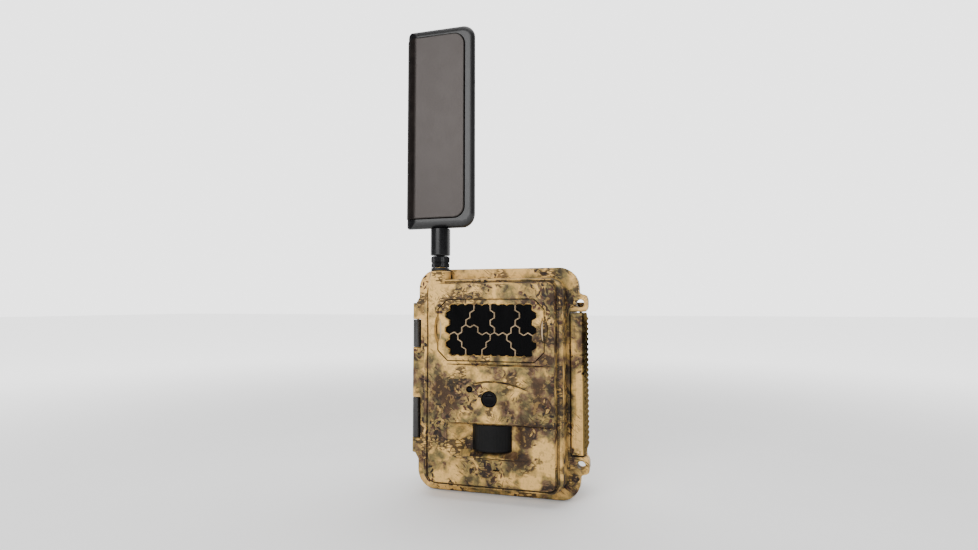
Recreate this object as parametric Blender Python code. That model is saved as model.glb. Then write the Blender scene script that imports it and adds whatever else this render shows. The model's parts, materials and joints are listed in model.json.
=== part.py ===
"""A cellular trail camera: a hinged two-part case with an infrared lamp window, a lens, a motion
sensor, a side latch and a swivelling paddle antenna.

+Z is up and the front faces -Y. The origin is on the plane of the base, midway between the hinge
barrels and the padlock ears' tips, and midway front to back. Numbers here are millimetres; the
helpers turn them into Blender's metres.
"""
import math

import bmesh
import bpy
from mathutils import Matrix

MM = 0.001
GAP = 0.3

# Case
CASE_HALF_WIDTH = 51.7
CASE_HEIGHT = 140.0
CORNER_RADIUS = 12.0
DOOR_BOTTOM = 0.4
FACE_FRONT = -34.0
STEP_FRONT = -31.0
FLANGE_FRONT = -19.0
DOOR_BACK = -15.2
REAR_FRONT = -14.8
REAR_FLANGE_BACK = -11.0
WALL_BACK = 25.0
RAIL_BACK = 34.0
REAR_HALF_WIDTH = 46.0
REAR_TOP = 137.0
EAR_TIP = 57.0
EAR_HOLE_X = 52.3

# Hinge and latch
HINGE_X, HINGE_Y, BARREL_RADIUS = -54.0, -15.0, 3.0
BLACK_BARRELS = ((32.0, 57.2), (89.9, 107.6))
DOOR_BARRELS = ((22.2, 31.7), (57.5, 89.6), (107.9, 118.5))
PIN_RADIUS, PIN_HOLE = 1.0, 1.35
LATCH_X, LATCH_Y, LATCH_BARREL = 50.2, 8.0, 3.3
LATCH_Z = (28.0, 112.2)
NOTCH_Z = (27.2, 113.0)
RIB_PITCH, RIB_HEIGHT = 3.24, 0.9

# Lamp window: a lattice of pointed-top hexagons, seven rows high
WINDOW_Z = 102.05
HEX_HALF_WIDTH = 2.565
HEX_SIDE = 2 * HEX_HALF_WIDTH / math.sqrt(3)
HEX_ROWS = 7
RIB_HALF_WIDTH = 0.45
CELL_BREAKS = {0: (-4, 0, 6), 1: (-5, 1, 7), 2: (-6, 0, 6), 4: (-8, 0, 4), 5: (-7, -1, 5), 6: (-6, -2, 6)}
MIDDLE_ROW_CELLS = {-10: 0, -8: 0, -6: 5, -4: 5, -2: 1, 0: 1, 2: 2, 4: 2, 6: 7, 8: 3, 10: 3}

# Face
LENS_X, LENS_Z, LENS_HOLE = -0.4, 60.9, 4.95
SENSOR_X, SENSOR_Z, SENSOR_HOLE = -12.7, 66.4, 2.0
PIR_RADIUS, PIR_HALF_CHORD, PIR_Z = 16.0, 12.2, (29.7, 45.4)
POCKET_TOP, POCKET_FLOOR, POCKET_HALF_WIDTH, POCKET_MOUTH = 45.8, -28.0, 14.5, 24.0

# Electronics
BOARD_FRONT, BOARD_BACK = -22.6, -21.0
PANEL_FRONT, PANEL_BACK = -17.3, -15.3
SCREW_PLACES = ((-38.0, 14.0), (38.0, 14.0), (-38.0, 116.0), (38.0, 116.0))
KEY_PLACES = {
    "key_up": (-18.0, 75.0), "key_down": (-18.0, 57.0), "key_left": (-27.0, 66.0),
    "key_right": (-9.0, 66.0), "key_ok": (-18.0, 66.0), "key_menu": (4.0, 66.0),
}
KEY_RADIUS = 3.0
SWITCH_X, SWITCH_Z = 25.0, 66.0
CARD_X, CARD_Y, CARD_Z = (-28.0, 4.0), (-20.5, -18.4), (17.0, 41.0)

# Batteries
CELL_RADIUS, CELL_LENGTH, NUB_LENGTH = 7.1, 50.5, 1.3
CELL_PITCH, CELL_Y = 15.4, 13.2
BAYS = ((13.4, 69.0), (71.8, 127.4))
SPRING_HEIGHT = 3.0

# Antenna
ANTENNA_X, ANTENNA_Y = -34.8, -25.0
BOSS_RADIUS, BOSS_TOP = 6.5, 138.4
BLADE_X, BLADE_Z = (-58.7, -11.5), (165.8, 296.0)
BLADE_FRONT, BLADE_BACK = -29.5, -20.5

COLOURS = {
    "camo_plastic": ((0.45, 0.33, 0.19), 0.6, 0.0),
    "black_plastic": ((0.02, 0.02, 0.022), 0.45, 0.0),
    "antenna_plastic": ((0.13, 0.12, 0.11), 0.6, 0.0),
    "lamp_filter": ((0.004, 0.004, 0.006), 0.12, 0.0),
    "lens_glass": ((0.01, 0.01, 0.02), 0.05, 0.0),
    "pir_window": ((0.012, 0.012, 0.014), 0.4, 0.0),
    "circuit_board": ((0.02, 0.12, 0.05), 0.5, 0.0),
    "rubber": ((0.03, 0.03, 0.03), 0.8, 0.0),
    "steel": ((0.6, 0.6, 0.6), 0.3, 1.0),
    "brass": ((0.75, 0.58, 0.25), 0.3, 1.0),
    "battery_wrap": ((0.25, 0.22, 0.18), 0.4, 0.3),
    "key_plastic": ((0.35, 0.35, 0.36), 0.5, 0.0),
}


# ---- helpers ----

def collection(name):
    group = bpy.data.collections.new(name)
    bpy.context.scene.collection.children.link(group)
    return group


def material(name):
    colour, roughness, metallic = COLOURS[name]
    found = bpy.data.materials.get(name)
    if found:
        return found
    made = bpy.data.materials.new(name)
    made.use_nodes = True
    shader = made.node_tree.nodes["Principled BSDF"]
    shader.inputs["Base Color"].default_value = (*colour, 1)
    shader.inputs["Roughness"].default_value = roughness
    shader.inputs["Metallic"].default_value = metallic
    return made


def finish(obj, slot, pivot=None):
    """Give an object its material and, if it moves, hang it from an empty on its joint."""
    obj.data.materials.append(material(slot))
    obj.data.shade_smooth()
    obj.data.set_sharp_from_angle(angle=math.radians(35))
    if pivot:
        obj.parent = pivot
        obj.location = -pivot.location
    return obj


def joint_empty(name, x, y, z):
    empty = bpy.data.objects.new(name, None)
    empty.empty_display_size = 5 * MM
    empty.location = (x * MM, y * MM, z * MM)
    PARTS.objects.link(empty)
    return empty


def from_bmesh(name, bm):
    bmesh.ops.recalc_face_normals(bm, faces=bm.faces)
    mesh = bpy.data.meshes.new(name)
    bm.to_mesh(mesh)
    bm.free()
    obj = bpy.data.objects.new(name, mesh)
    PARTS.objects.link(obj)
    return obj


def block(name, x, y, z):
    """A box between two limits on each axis."""
    bm = bmesh.new()
    bmesh.ops.create_cube(bm, size=1)
    for vertex in bm.verts:
        vertex.co = [sum(span) / 2 * MM + c * (span[1] - span[0]) * MM
                     for c, span in zip(vertex.co, (x, y, z))]
    return from_bmesh(name, bm)


def rod(name, centre, radius, span, axis="Z", sides=16, end_radius=None):
    """A cylinder or cone along one axis, from span[0] to span[1]; centre holds the other two places."""
    bm = bmesh.new()
    length = span[1] - span[0]
    bmesh.ops.create_cone(bm, cap_ends=True, segments=sides, radius1=radius * MM, depth=length * MM,
                          radius2=(radius if end_radius is None else end_radius) * MM)
    middle = (span[0] + span[1]) / 2
    if axis == "Z":
        turn, place = Matrix(), (centre[0], centre[1], middle)
    elif axis == "Y":
        turn, place = Matrix.Rotation(-math.pi / 2, 4, "X"), (centre[0], middle, centre[1])
    else:
        turn, place = Matrix.Rotation(math.pi / 2, 4, "Y"), (middle, centre[0], centre[1])
    bm.transform(Matrix.Translation([c * MM for c in place]) @ turn)
    return from_bmesh(name, bm)


def loft(name, sections, axis="Y"):
    """A solid through flat outlines with equal numbers of points, each given with its place on the axis."""
    order = {"X": lambda u, v, w: (w, u, v), "Y": lambda u, v, w: (u, w, v), "Z": lambda u, v, w: (u, v, w)}
    place = order[axis]
    bm = bmesh.new()
    rings = [[bm.verts.new([c * MM for c in place(u, v, level)]) for u, v in outline]
             for outline, level in sections]
    for near, far in zip(rings, rings[1:]):
        for i in range(len(near)):
            bm.faces.new((near[i - 1], near[i], far[i], far[i - 1]))
    bm.faces.new(rings[0])
    bm.faces.new(rings[-1])
    return from_bmesh(name, bm)


def prism(name, outline, span, axis="Y"):
    return loft(name, [(outline, span[0]), (outline, span[1])], axis)


def arc(x, z, radius, start, end, steps):
    angles = (math.radians(start + (end - start) * i / steps) for i in range(steps + 1))
    return [(x + radius * math.cos(a), z + radius * math.sin(a)) for a in angles]


def rounded(x, z, radius, steps=4):
    """A rectangle with round corners, anticlockwise from its lower right."""
    r = radius
    return (arc(x[1] - r, z[0] + r, r, -90, 0, steps) + arc(x[1] - r, z[1] - r, r, 0, 90, steps)
            + arc(x[0] + r, z[1] - r, r, 90, 180, steps) + arc(x[0] + r, z[0] + r, r, 180, 270, steps))


def combine(body, operation, tools):
    for tool in tools:
        PARTS.objects.unlink(tool)
        CUTTERS.objects.link(tool)
        tool.hide_render = True
        tool.display_type = "WIRE"
        modifier = body.modifiers.new(tool.name, "BOOLEAN")
        modifier.operation = operation
        modifier.object = tool
    return body


def cut(body, *tools):
    return combine(body, "DIFFERENCE", tools)


def join(body, *tools):
    return combine(body, "UNION", tools)


# ---- outlines of the case ----

def ear(side):
    """The padlock ear's outline on the right edge; side is 1 for the upper ear, -1 for the lower one."""
    points = ((CASE_HALF_WIDTH, 124.6), (55.1, 122.8), (56.7, 120.9), (EAR_TIP, 119.9), (EAR_TIP, 116.2),
              (56.5, 114.4), (55.1, 113.0))
    middle = CASE_HEIGHT / 2
    return [(x, middle + side * (z - middle)) for x, z in points]


def flange(left_edge, bottom, notch_x):
    """The flange's outline, anticlockwise, with both ears and the latch's notch on the right."""
    w, r = CASE_HALF_WIDTH, CORNER_RADIUS
    top = CASE_HEIGHT - r
    notch = [(notch_x, NOTCH_Z[0]), (notch_x, NOTCH_Z[1])]
    lower = list(reversed(ear(-1)))
    lower[0] = (lower[0][0], NOTCH_Z[0])
    upper = ear(1)
    upper[-1] = (upper[-1][0], NOTCH_Z[1])
    return (arc(w - r, bottom + r, r, -90, 0, 5) + list(reversed(lower)) + notch + list(reversed(upper))
            + arc(w - r, top, r, 0, 90, 5) + arc(r - w, top, r, 90, 180, 5)
            + left_edge + arc(r - w, bottom + r, r, 180, 270, 5))


def door_left_edge():
    """Down the hinge side: tabs out to the door's own barrels, set back beside the black ones."""
    clear = HINGE_X + BARREL_RADIUS + 0.6
    edge = [(-CASE_HALF_WIDTH, 122.0)]
    for low, high in reversed(DOOR_BARRELS):
        edge += [(clear, high), (HINGE_X, high), (HINGE_X, low), (clear, low)]
    edge.pop(1)
    edge.pop(-1)
    return edge + [(-CASE_HALF_WIDTH, 18.6)]


def rear_left_edge():
    """Down the hinge side: clear of the door's barrels, and open where the black brackets pass."""
    clear, wall = HINGE_X + BARREL_RADIUS + 0.6, -REAR_HALF_WIDTH
    edge = [(-CASE_HALF_WIDTH, 119.2), (clear, 119.2)]
    for low, high in reversed(BLACK_BARRELS):
        edge += [(clear, high + 0.5), (wall, high + 0.5), (wall, low - 0.5), (clear, low - 0.5)]
    return edge + [(clear, 21.5), (-CASE_HALF_WIDTH, 21.5)]


def ear_holes(span):
    return [rod("ear_hole", (EAR_HOLE_X, z), 2.5, span, "Y", 20) for z in (22.0, 118.0)]


# ---- door shell and its windows ----

def front_cover(pivot):
    cover = prism("front_cover", flange(door_left_edge(), DOOR_BOTTOM, 46.2), (DOOR_BACK, FLANGE_FRONT))
    raised = loft("raised_face", [
        (rounded((-44.1, 44.1), (6.4, 133.6), 9), FLANGE_FRONT + 1),
        (rounded((-44.1, 44.1), (6.4, 133.6), 9), FLANGE_FRONT),
        (rounded((-43.2, 43.2), (7.3, 132.7), 8), STEP_FRONT + 0.5),
        (rounded((-42.7, 42.7), (7.8, 132.2), 7.5), STEP_FRONT),
        (rounded((-39.4, 39.4), (9.5, 130.5), 3.5), STEP_FRONT),
        (rounded((-38.9, 38.9), (10.0, 130.0), 3), STEP_FRONT - 0.4),
        (rounded((-38.9, 38.9), (10.0, 130.0), 3), FACE_FRONT + 0.5),
        (rounded((-38.4, 38.4), (10.5, 129.5), 2.5), FACE_FRONT),
    ])
    barrels = [rod("door_barrel", (HINGE_X, HINGE_Y), BARREL_RADIUS, span) for span in DOOR_BARRELS]
    boss = rod("antenna_boss", (ANTENNA_X, ANTENNA_Y), BOSS_RADIUS, (118, BOSS_TOP), sides=24)
    shallow = prism("shallow_cavity", rounded((-42, 42), (8.6, 131.4), 7), (-14, -26))
    deep = prism("deep_cavity", rounded((-36.9, 36.9), (12, 128), 3), (-25, -32))
    pocket_wall = block("pocket_wall", (-25, 25), (-33, -26), (24.5, 47.8))
    pocket = loft("pir_pocket", [
        (pocket_section(FACE_FRONT - 0.2), -POCKET_MOUTH), (pocket_section(POCKET_FLOOR), -POCKET_HALF_WIDTH),
        (pocket_section(POCKET_FLOOR), POCKET_HALF_WIDTH), (pocket_section(FACE_FRONT - 0.2), POCKET_MOUTH),
    ], "X")
    pir_way = block("pir_way", (-9, 9), (-30, -24), (32, 43))
    lamp_way = prism("lamp_way", octagon(33.2, 83.1, 120.8, 6.2), (-30, -36))
    posts = [rod("screw_post", at, 3.2, (-32.5, PANEL_FRONT - GAP), "Y") for at in SCREW_PLACES]
    pilots = [rod("screw_pilot", at, 1.65, (-29, -16), "Y", 12) for at in SCREW_PLACES]
    lens_way = rod("lens_way", (LENS_X, LENS_Z), LENS_HOLE, (-36, -30), "Y", 32)
    sensor_way = rod("sensor_way", (SENSOR_X, SENSOR_Z), SENSOR_HOLE, (-36, -30), "Y")
    jack_way = rod("jack_way", (ANTENNA_X, ANTENNA_Y), 3.15, (126, 140))
    jack_room = rod("jack_room", (ANTENNA_X, ANTENNA_Y), 4.6, (120, 131.4))
    pin_way = rod("pin_way", (HINGE_X, HINGE_Y), PIN_HOLE, (20, 121), sides=12)
    join(cover, raised, boss, *barrels)
    cut(cover, shallow, deep)
    join(cover, pocket_wall, *posts)
    mic_way = block("mic_way", (2, 6), (-36, -30), (19.3, 20.1))
    cut(cover, pocket, pir_way, mic_way, lamp_way, lens_way, sensor_way, jack_way, jack_room, pin_way,
        *pilots, *ear_holes((-20, -14)))
    finish(cover, "camo_plastic", pivot)


def pocket_section(floor):
    """The motion sensor's pocket from the side: a square overhang at the top and a sloping sill."""
    return [(FACE_FRONT - 2, POCKET_TOP), (floor, POCKET_TOP), (floor, 29.3), (FACE_FRONT - 0.3, 26.8),
            (FACE_FRONT - 2, 26.8)]


def octagon(half_width, low, high, corner):
    w, c = half_width, corner
    return [(w - c, low), (w, low + c), (w, high - c), (w - c, high),
            (c - w, high), (-w, high - c), (-w, low + c), (c - w, low)]


def hexagon(column, row):
    """A hexagon's corners, anticlockwise, as steps of half a width and half a side. The outermost rows
    are cut flat."""
    j = 3 * (HEX_ROWS // 2 - row)
    top = [(column + 0.5, j + 1.5), (column - 0.5, j + 1.5)] if row == 0 else [(column, j + 2)]
    foot = [(column - 0.5, j - 1.5), (column + 0.5, j - 1.5)] if row == HEX_ROWS - 1 else [(column, j - 2)]
    left, right = [(column - 1, j + 1), (column - 1, j - 1)], [(column + 1, j - 1), (column + 1, j + 1)]
    return top + left + foot + right


def hexagons():
    """Every hexagon, with the number of the cell that it belongs to."""
    for row in range(HEX_ROWS):
        wide = row % 2 == 1
        for column in range(-10, 11, 2) if wide else range(-9, 10, 2):
            if row == HEX_ROWS // 2:
                yield MIDDLE_ROW_CELLS[column], hexagon(column, row)
            else:
                cell = sum(column > edge for edge in CELL_BREAKS[row])
                yield cell + (4 if row > HEX_ROWS // 2 else 0), hexagon(column, row)


def outer_edges(corner_lists):
    """The edges that only one hexagon of the group has, as a map from each one's start to its end."""
    edges = {(a, b) for corners in corner_lists for a, b in zip(corners, corners[1:] + corners[:1])}
    return {a: b for a, b in edges if (b, a) not in edges}


def cell_outline(number):
    """One lamp cell's outline. An edge shared with another cell is set back by half a rib."""
    everything = list(hexagons())
    rim = outer_edges([corners for _, corners in everything])
    follow = outer_edges([corners for cell, corners in everything if cell == number])
    start = min(follow)
    loop = [start]
    while follow[loop[-1]] != start:
        loop.append(follow[loop[-1]])
    lines = []
    for a, b in zip(loop, loop[1:] + loop[:1]):
        (ax, az), (bx, bz) = [(k * HEX_HALF_WIDTH, j * HEX_SIDE / 2) for k, j in (a, b)]
        length = math.hypot(bx - ax, bz - az)
        normal = ((az - bz) / length, (bx - ax) / length)
        inset = 0.0 if rim.get(a) == b else RIB_HALF_WIDTH
        lines.append((normal, normal[0] * ax + normal[1] * az + inset))
    points = []
    for (n, c), (m, d) in zip(lines[-1:] + lines[:-1], lines):
        det = n[0] * m[1] - n[1] * m[0]
        points.append(((c * m[1] - d * n[1]) / det, WINDOW_Z + (n[0] * d - m[0] * c) / det))
    return points


def led_bezel(pivot):
    bezel = prism("led_bezel", octagon(32.8, 83.5, 120.4, 6), (-31.4, FACE_FRONT + GAP))
    foot = prism("bezel_foot", octagon(34.2, 82.4, 121.5, 6), (-29.9, -31.6))
    filter_room = block("filter_room", (-30.2, 30.2), (-31.9, -28), (84.6, 119.4))
    cells = [prism("lamp_cell", cell_outline(number), (-35, -30)) for number in range(8)]
    finish(cut(join(bezel, foot), filter_room, *cells), "camo_plastic", pivot)


def lamp_parts(pivot):
    finish(block("led_filter", (-29.8, 29.8), (-31.6, -30.2), (85, 119)), "lamp_filter", pivot)
    board = block("ir_led_board", (-30, 30), (-24.1, -22.5), (85, 119))
    lamps = []
    for row in range(1, HEX_ROWS - 1):
        z = WINDOW_Z + 1.5 * HEX_SIDE * (HEX_ROWS // 2 - row)
        for column in range(-8, 9, 4):
            x = (column + (0 if row % 2 else 1)) * HEX_HALF_WIDTH
            lamps.append(rod("lamp", (x, z), 2.4, (-29.5, -24), "Y", 8))
    finish(join(board, *lamps), "circuit_board", pivot)


# ---- lens, sensors ----

def camera_parts(pivot):
    window = rod("lens_window", (LENS_X, LENS_Z), LENS_HOLE - 0.35, (-33.4, -31), "Y", 32)
    foot = rod("window_foot", (LENS_X, LENS_Z), 6.4, (-31.7, -30.7), "Y", 24)
    finish(join(window, foot), "lens_glass", pivot)
    barrel = rod("lens_barrel", (LENS_X, LENS_Z), 5.2, (-30.3, -28), "Y", 24)
    collar = rod("lens_collar", (LENS_X, LENS_Z), 6.6, (-28.2, -26.0), "Y", 24)
    iris = rod("lens_iris", (LENS_X, LENS_Z), 2.2, (-31, -28.6), "Y", 16, 3.2)
    finish(cut(join(barrel, collar), iris), "black_plastic", pivot)
    module = block("camera_module", (-9, 15), (-25.7, -22.9), (51.9, 69.9))
    track = block("filter_track", (-5, 12.5), (-25.1, -23.5), (56.2, 65.6))
    light_way = rod("light_way", (LENS_X, LENS_Z), 3, (-27, -24), "Y")
    finish(cut(module, track, light_way), "black_plastic", pivot)
    window = rod("light_sensor_window", (SENSOR_X, SENSOR_Z), 1.65, (-33.4, -31), "Y")
    foot = rod("sensor_foot", (SENSOR_X, SENSOR_Z), 3, (-31.7, -30.7), "Y")
    finish(join(window, foot), "lens_glass", pivot)


def ir_cut_filter():
    pivot = joint_empty("ir_cut_filter_joint", LENS_X, -24.3, LENS_Z)
    finish(block("ir_cut_filter", (-4, 4), (-24.7, -23.9), (56.9, 64.9)), "lens_glass", pivot)


def pir_outline(radius, half_chord):
    """The D-shaped section of the motion sensor's window, seen from above."""
    centre = FACE_FRONT + PIR_RADIUS
    half = math.degrees(math.asin(half_chord / radius))
    return arc(0, centre, radius, -90 - half, -90 + half, 12)


def pir_parts(pivot):
    lens = prism("pir_lens", pir_outline(PIR_RADIUS, PIR_HALF_CHORD), PIR_Z, "Z")
    inside = pir_outline(PIR_RADIUS - 1.2, PIR_HALF_CHORD - 1.6)
    back = [(inside[-1][0], -27), (inside[0][0], -27)]
    hollow = prism("pir_hollow", inside + back, (PIR_Z[0] + 1.2, PIR_Z[1] - 1.2), "Z")
    finish(cut(lens, hollow), "pir_window", pivot)
    can = rod("pir_sensor", (0, 37.5), 4.6, (-25.4, -22.9), "Y", 16)
    finish(can, "steel", pivot)


# ---- electronics behind the door's inner panel ----

def boards(pivot):
    board = block("main_board", (-34, 34), (BOARD_FRONT, BOARD_BACK), (11.5, 82))
    domes = [rod("key_dome", at, 1.6, (BOARD_BACK - 0.2, BOARD_BACK + 0.9), "Y", 10)
             for at in KEY_PLACES.values()]
    slide_base = block("slide_base", (19.5, 30.5), (BOARD_BACK - 0.2, -20.0), (62.5, 69.5))
    chip = block("chip", (-14, 10), (BOARD_BACK - 0.2, BOARD_BACK + 0.6), (44.5, 50.5))
    finish(join(board, slide_base, chip, *domes), "circuit_board", pivot)
    finish(block("cellular_module", (16.2, 32.2), (-25.4, -22.9), (50, 79)), "steel", pivot)
    socket = block("sd_socket", (-31, -4.6), (-20.7, -17.7), (15.2, 42.8))
    room = block("card_room", (-29.6, 0), (-22, -18.1), (16.6, 41.4))
    finish(cut(socket, room), "steel", pivot)
    port = prism("usb_port", rounded((24.2, 33.2), (19.3, 22.6), 1.4, 2), (-20.7, -16.2))
    mouth = prism("usb_mouth", rounded((24.7, 32.7), (19.8, 22.1), 1.1, 2), (-19.5, -15))
    finish(cut(port, mouth), "steel", pivot)


def inner_panel(pivot):
    panel = prism("inner_panel", rounded((-41.4, 41.4), (9.2, 130.8), 6.4), (PANEL_FRONT, PANEL_BACK))
    ways = [
        block("screen_way", (-21.4, 21.4), (-19, -13), (87.6, 118.9)),
        block("card_way", (-4.0, 14.0), (-19, -13), (16.4, 41.6)),
        prism("usb_way", rounded((23.4, 34.0), (18.5, 23.4), 1.8, 2), (-19, -13)),
        block("switch_way", (SWITCH_X - 4.4, SWITCH_X + 4.4), (-19, -13), (SWITCH_Z - 1.6, SWITCH_Z + 1.6)),
    ]
    ways += [rod("key_way", at, KEY_RADIUS + 0.4, (-19, -13), "Y") for at in KEY_PLACES.values()]
    for at in SCREW_PLACES:
        ways.append(rod("screw_way", at, 1.7, (-19, -14), "Y", 12))
        ways.append(rod("screw_sink", at, 3.0, (-16.6, -14), "Y", 12))
    finish(cut(panel, *ways), "black_plastic", pivot)
    screen = block("lcd_screen", (-25.5, 25.5), (-20.2, -17.7), (84.5, 121))
    glass = block("screen_glass", (-21, 21), (-18, -15.9), (88, 118.5))
    finish(join(screen, glass), "lens_glass", pivot)
    for number, at in enumerate(SCREW_PLACES, 1):
        screw = rod(f"panel_screw_{number}", at, 1.3, (-25, -16.2), "Y", 10)
        head = rod("screw_head", at, 2.6, (-16.3, -15.4), "Y", 12)
        recess = block("cross_recess", (at[0] - 1.6, at[0] + 1.6), (-15.9, -15), (at[1] - 0.3, at[1] + 0.3))
        finish(cut(join(screw, head), recess), "steel", pivot)


def keys_and_card():
    for name, (x, z) in KEY_PLACES.items():
        pivot = joint_empty(name + "_joint", x, PANEL_BACK, z)
        cap = rod(name, (x, z), KEY_RADIUS, (-18.5, -14.6), "Y")
        skirt = rod("key_skirt", (x, z), 3.9, (-18.9, -17.7), "Y")
        finish(join(cap, skirt), "key_plastic", pivot)
    pivot = joint_empty("mode_switch_joint", SWITCH_X, PANEL_BACK, SWITCH_Z)
    x, z = SWITCH_X, SWITCH_Z
    slider = block("mode_switch", (x - 3, x + 3), (-19.6, -17.7), (z - 2.6, z + 2.6))
    thumb = block("switch_thumb", (x - 1.5, x + 1.5), (-18, -14.5), (z - 1.2, z + 1.2))
    finish(join(slider, thumb), "key_plastic", pivot)
    pivot = joint_empty("sd_card_joint", CARD_X[1], sum(CARD_Y) / 2, sum(CARD_Z) / 2)
    x0, x1 = CARD_X
    z0, z1 = CARD_Z
    outline = [(x0 + 3.5, z0), (x1, z0), (x1, z1), (x0, z1), (x0, z0 + 3.5)]
    finish(prism("sd_card", outline, CARD_Y), "black_plastic", pivot)


def antenna_lead(pivot):
    """The coaxial lead from the antenna's jack to the cellular module, clipped inside the door."""
    route = [(-34.8, -25, 126.6), (-34.7, -24.9, 124.5), (-34.2, -24.2, 122), (-33.3, -22.8, 119.6),
             (-32.7, -21.4, 116.5), (-32.6, -20.8, 112), (-32.6, -20.7, 104), (-32.6, -20.8, 96),
             (-32.8, -21.8, 89), (-32.8, -23.6, 84.6), (-31, -25, 81.9), (-26, -25.4, 80.8),
             (-16, -25.3, 80.5), (-4, -25.1, 80.4), (8, -24.8, 80.3), (16, -24.4, 80.3), (24, -24.2, 80.3)]
    curve = bpy.data.curves.new("antenna_lead", "CURVE")
    curve.dimensions = "3D"
    curve.bevel_depth = 0.6 * MM
    curve.bevel_resolution = 1
    curve.use_fill_caps = True
    spline = curve.splines.new("POLY")
    spline.points.add(len(route) - 1)
    for point, place in zip(spline.points, route):
        point.co = (*[c * MM for c in place], 1)
    lead = bpy.data.objects.new("antenna_lead", curve)
    PARTS.objects.link(lead)
    lead.data.materials.append(material("rubber"))
    lead.parent = pivot
    lead.location = -pivot.location


# ---- antenna ----

def antenna():
    axis = (ANTENNA_X, ANTENNA_Y)
    pivot = joint_empty("antenna_nut_joint", ANTENNA_X, ANTENNA_Y, 144)
    nut = rod("antenna_nut", axis, 5.9, (140.8, 148), sides=24)
    way = rod("nut_way", axis, 3.45, (140, 146.8), sides=16)
    neck_way = rod("neck_way", axis, 3.0, (146, 149), sides=16)
    finish(cut(nut, way, neck_way), "black_plastic", pivot)

    pivot = joint_empty("antenna_joint", ANTENNA_X, ANTENNA_Y, 148)
    stem = rod("antenna_stem", axis, 6.3, (148.3, BLADE_Z[0] - GAP), sides=24)
    neck = rod("stem_neck", axis, 2.6, (147.1, 149), sides=16)
    finish(join(stem, neck), "black_plastic", pivot)

    shell = blade_loft("antenna_blade", BLADE_FRONT + 0.9)
    room_x = (BLADE_X[0] + 1.4, BLADE_X[1] - 6.7)
    room = prism("blade_room", rounded(room_x, (173.6, 289), 6), (-35, BLADE_BACK - 2))
    finish(cut(shell, room), "black_plastic", pivot)
    face = loft("antenna_panel", [
        (blade_outline(0.4, 6.3, 5.4), BLADE_FRONT + 0.6),
        (blade_outline(0.4, 6.3, 5.4), BLADE_FRONT + 0.2),
        (blade_outline(1.2, 7.0, 6.1), BLADE_FRONT - 0.4),
    ])
    finish(face, "antenna_plastic", pivot)
    finish(block("antenna_element", (-50, -22), (-25.6, -24.8), (178, 284)), "circuit_board", pivot)


def blade_outline(left, right, ends):
    """The paddle's outline, set in by left, right and ends; its right corners are the rounder ones."""
    x0, x1 = BLADE_X[0] + left, BLADE_X[1] - right
    z0, z1 = BLADE_Z[0] + ends, BLADE_Z[1] - ends
    r, s = 8.5, 2.0
    return (arc(x1 - r, z0 + r, r, -90, 0, 5) + arc(x1 - r, z1 - r, r, 0, 90, 5)
            + arc(x0 + s, z1 - s, s, 90, 180, 2) + arc(x0 + s, z0 + s, s, 180, 270, 2))


def blade_loft(name, front):
    edge = 0.8
    return loft(name, [
        (blade_outline(edge, edge, edge), front),
        (blade_outline(0, 0, 0), front + edge),
        (blade_outline(0, 0, 0), BLADE_BACK - edge),
        (blade_outline(edge, edge, edge), BLADE_BACK),
    ])


def sma_jack(pivot):
    axis = (ANTENNA_X, ANTENNA_Y)
    jack = rod("sma_jack", axis, 2.8, (127, 140))
    shoulder = rod("jack_shoulder", axis, 4.2, (128.2, 131.1))
    thread = rod("jack_thread", axis, 3.1, (139.5, 146.2))
    finish(join(jack, shoulder, thread), "brass", pivot)
    seal = rod("jack_seal", axis, 5.9, (BOSS_TOP + GAP, 140.4), sides=24)
    finish(cut(seal, rod("seal_way", axis, 3.45, (137, 142))), "rubber", pivot)


# ---- rear housing ----

def tree_rail(x):
    """A vertical rail with teeth that bite the bark, and a slot that the strap passes through."""
    low, high, pitch, depth = 12.0, 126.0, 6.0, 1.8
    teeth = []
    for start, count in ((low, 6), (high - 6 * pitch, 6)):
        for i in range(count):
            z = start + i * pitch
            teeth += [(RAIL_BACK, z), (RAIL_BACK, z + pitch / 2), (RAIL_BACK - depth, z + pitch * 0.75)]
        teeth.append((RAIL_BACK, start + count * pitch))
    outline = [(WALL_BACK - 1, low)] + teeth + [(WALL_BACK - 1, high)]
    return prism("tree_rail", outline, (x - 4, x + 4), "X")


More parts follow.
